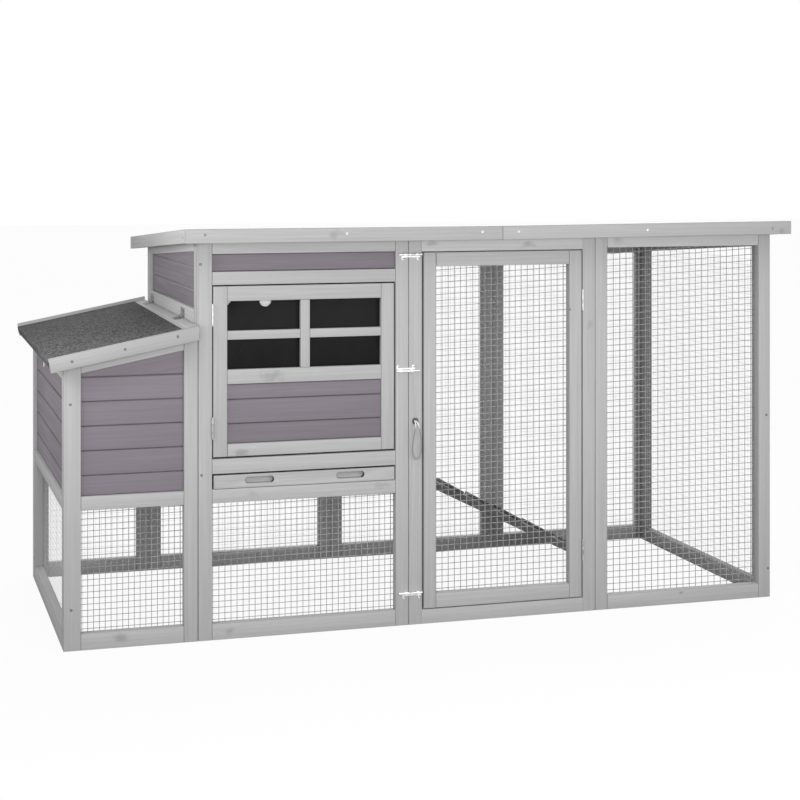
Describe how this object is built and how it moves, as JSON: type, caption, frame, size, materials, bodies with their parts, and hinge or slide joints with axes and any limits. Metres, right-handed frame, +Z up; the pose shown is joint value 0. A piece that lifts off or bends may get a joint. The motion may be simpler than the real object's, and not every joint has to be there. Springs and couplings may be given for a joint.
{
  "type": "chicken coop with run",
  "caption": "Low wooden chicken coop: a raised house with a hinged door, sliding tray and side nest box under a lid, joined to a wire run under one felted roof.",
  "frame": {"origin": "on the ground under the middle of the coop's outline", "axes": "+X from the nest box to the end of the run, +Y from the front to the back, +Z up"},
  "size_m": [1.9754, 0.9432, 1.0206],
  "materials": {
    "painted_timber": "light grey paint on planed fir",
    "mauve_boards": "mauve grey stain on tongued boards",
    "bare_boards": "bare planed fir",
    "roofing_felt": "mineral faced bitumen felt",
    "welded_net": "galvanised welded wire",
    "zinc_hardware": "bright zinc plating",
    "tray_steel": "galvanised sheet",
    "tinted_panes": "dark acrylic",
    "cord_fittings": "white guide and small screw eyes",
    "cord": "braided cord"
  },
  "bodies": {
    "coop": {"nest_front_frame": "painted_timber", "nest_left_frame": "painted_timber", "nest_back_frame": "painted_timber", "house_front_frame": "painted_timber", "house_back_frame": "painted_timber", "house_left_wall_frame": "painted_timber", "house_right_wall_frame": "painted_timber", "run_front_frame": "painted_timber", "run_panel_frame": "painted_timber", "run_right_frame": "painted_timber", "run_back_frame": "painted_timber", "roof_fascia": "painted_timber", "pop_door_guides": "painted_timber", "ramp": "painted_timber", "bearers": "painted_timber", "nest_front_boards": "mauve_boards", "nest_left_boards": "mauve_boards", "back_boards": "mauve_boards", "house_upper_boards": "mauve_boards", "house_right_wall_boards": "mauve_boards", "roof_deck": "bare_boards", "nest_floor": "bare_boards", "nest_divider": "bare_boards", "roost_bar": "bare_boards", "roof_felt": "roofing_felt", "front_lower_mesh": "welded_net", "nest_left_mesh": "welded_net", "back_lower_mesh": "welded_net", "run_panel_mesh": "welded_net", "run_right_mesh": "welded_net", "run_back_mesh": "welded_net", "hinge_fixed_leaves": "zinc_hardware", "pivot_pins": "zinc_hardware", "bolt_bodies": "zinc_hardware", "cord_eyes": "cord_fittings", "cord_loop": "cord", "cord_run": "cord", "cord_drop": "cord"},
    "house_door": {"house_door_frame": "painted_timber", "house_door_boards": "mauve_boards", "pane_battens": "painted_timber", "house_door_leaves": "zinc_hardware"},
    "left_pane": {"window_pane_left": "tinted_panes"},
    "right_pane": {"window_pane_right": "tinted_panes"},
    "run_door": {"run_door_frame": "painted_timber", "run_door_mesh": "welded_net", "run_door_leaves": "zinc_hardware"},
    "nest_lid": {"nest_lid_deck": "bare_boards", "nest_lid_fascia": "painted_timber", "nest_lid_felt": "roofing_felt", "lid_leaves": "zinc_hardware", "lid_eye": "zinc_hardware"},
    "hook": {"lid_hook": "zinc_hardware"},
    "tray": {"tray_front": "painted_timber", "tray_pan": "tray_steel"},
    "house_bolt": {"house_bolt_rod": "zinc_hardware"},
    "run_top_bolt": {"run_top_bolt_rod": "zinc_hardware"},
    "run_bottom_bolt": {"run_bottom_bolt_rod": "zinc_hardware"},
    "pop_hatch": {"pop_door": "mauve_boards"}
  },
  "joints": [
    {"name": "house_door_swing", "type": "hinge", "parent": "coop", "child": "house_door", "pos_m": [-0.58427, -0.43504, 0.662], "axis": [0, 0, -1], "range_deg": [0, 110]},
    {"name": "left_pane_slide", "type": "slide", "parent": "house_door", "child": "left_pane", "axis": [0, 0, -1], "range_m": [-0.018, 0.13]},
    {"name": "right_pane_slide", "type": "slide", "parent": "house_door", "child": "right_pane", "axis": [0, 0, -1], "range_m": [0, 0.148]},
    {"name": "run_door_swing", "type": "hinge", "parent": "coop", "child": "run_door", "pos_m": [0.40073, -0.43504, 0.494], "axis": [0, 0, 1], "range_deg": [0, 110]},
    {"name": "nest_lid_lift", "type": "hinge", "parent": "coop", "child": "nest_lid", "pos_m": [-0.62387, -0.02164, 0.78414], "axis": [0, 1, 0], "range_deg": [0, 85]},
    {"name": "lid_hook_swing", "type": "hinge", "parent": "coop", "child": "hook", "pos_m": [-0.95527, -0.02164, 0.668], "axis": [1, 0, 0], "range_deg": [-120, 120]},
    {"name": "tray_slide", "type": "slide", "parent": "coop", "child": "tray", "axis": [0, -1, 0], "range_m": [0, 0.5]},
    {"name": "house_bolt_slide", "type": "slide", "parent": "coop", "child": "house_bolt", "axis": [-1, 0, 0], "range_m": [0, 0.01]},
    {"name": "run_top_bolt_slide", "type": "slide", "parent": "coop", "child": "run_top_bolt", "axis": [1, 0, 0], "range_m": [0, 0.01]},
    {"name": "run_bottom_bolt_slide", "type": "slide", "parent": "coop", "child": "run_bottom_bolt", "axis": [1, 0, 0], "range_m": [0, 0.01]},
    {"name": "pop_door_lift", "type": "slide", "parent": "coop", "child": "pop_hatch", "axis": [0, 0, 1], "range_m": [0, 0.22], "deforming": ["cord_drop"]}
  ]
}
